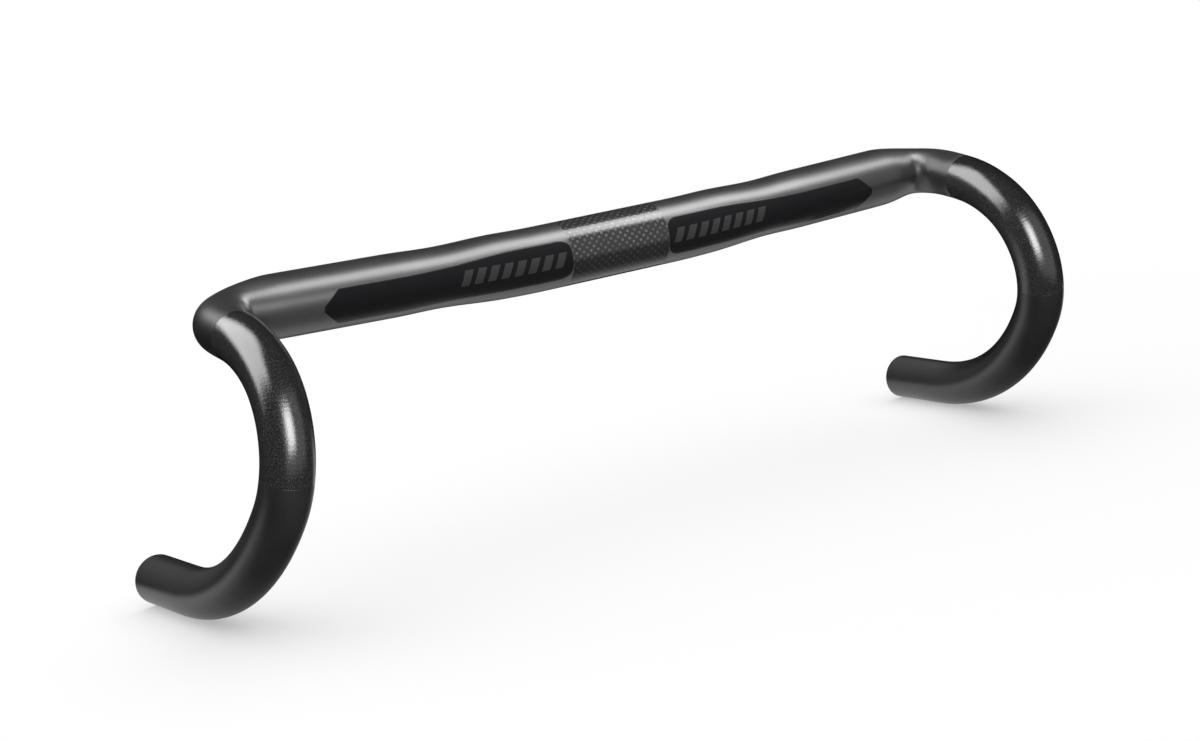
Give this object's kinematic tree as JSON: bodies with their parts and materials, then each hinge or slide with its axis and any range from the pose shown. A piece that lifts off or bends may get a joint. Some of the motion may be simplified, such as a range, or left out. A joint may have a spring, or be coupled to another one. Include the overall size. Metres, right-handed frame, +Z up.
{
  "type": "drop handlebar",
  "caption": "Bare compact drop handlebar for a road bicycle in moulded carbon fibre, 420 mm wide, with oval tops, a woven 31.8 mm clamping zone and flared hooks.",
  "frame": {"origin": "middle of the round clamping zone, on its axis", "axes": "+X along the bar to the rider's left, -Y forward, +Z up, with the straight drops lying level"},
  "size_m": [0.484, 0.1522, 0.152],
  "materials": {
    "satin_carbon": "satin clear coat over moulded carbon, soft grey sheen",
    "gloss_weave": "gloss clear coat over a fine woven carbon ply",
    "gloss_grain": "gloss clear coat over a finely grained carbon ply",
    "gloss_black": "smooth gloss black film",
    "raw_carbon": "raw moulded carbon, dull"
  },
  "bodies": {
    "root": {"centre_tube": "satin_carbon", "drop_left": "satin_carbon", "drop_right": "satin_carbon", "joint_sleeve_left": "raw_carbon", "joint_sleeve_right": "raw_carbon", "clamp_weave_wrap": "gloss_weave", "lever_wrap_left": "gloss_grain", "lever_wrap_right": "gloss_grain", "front_panel_left": "gloss_black", "front_panel_right": "gloss_black"}
  },
  "joints": []
}
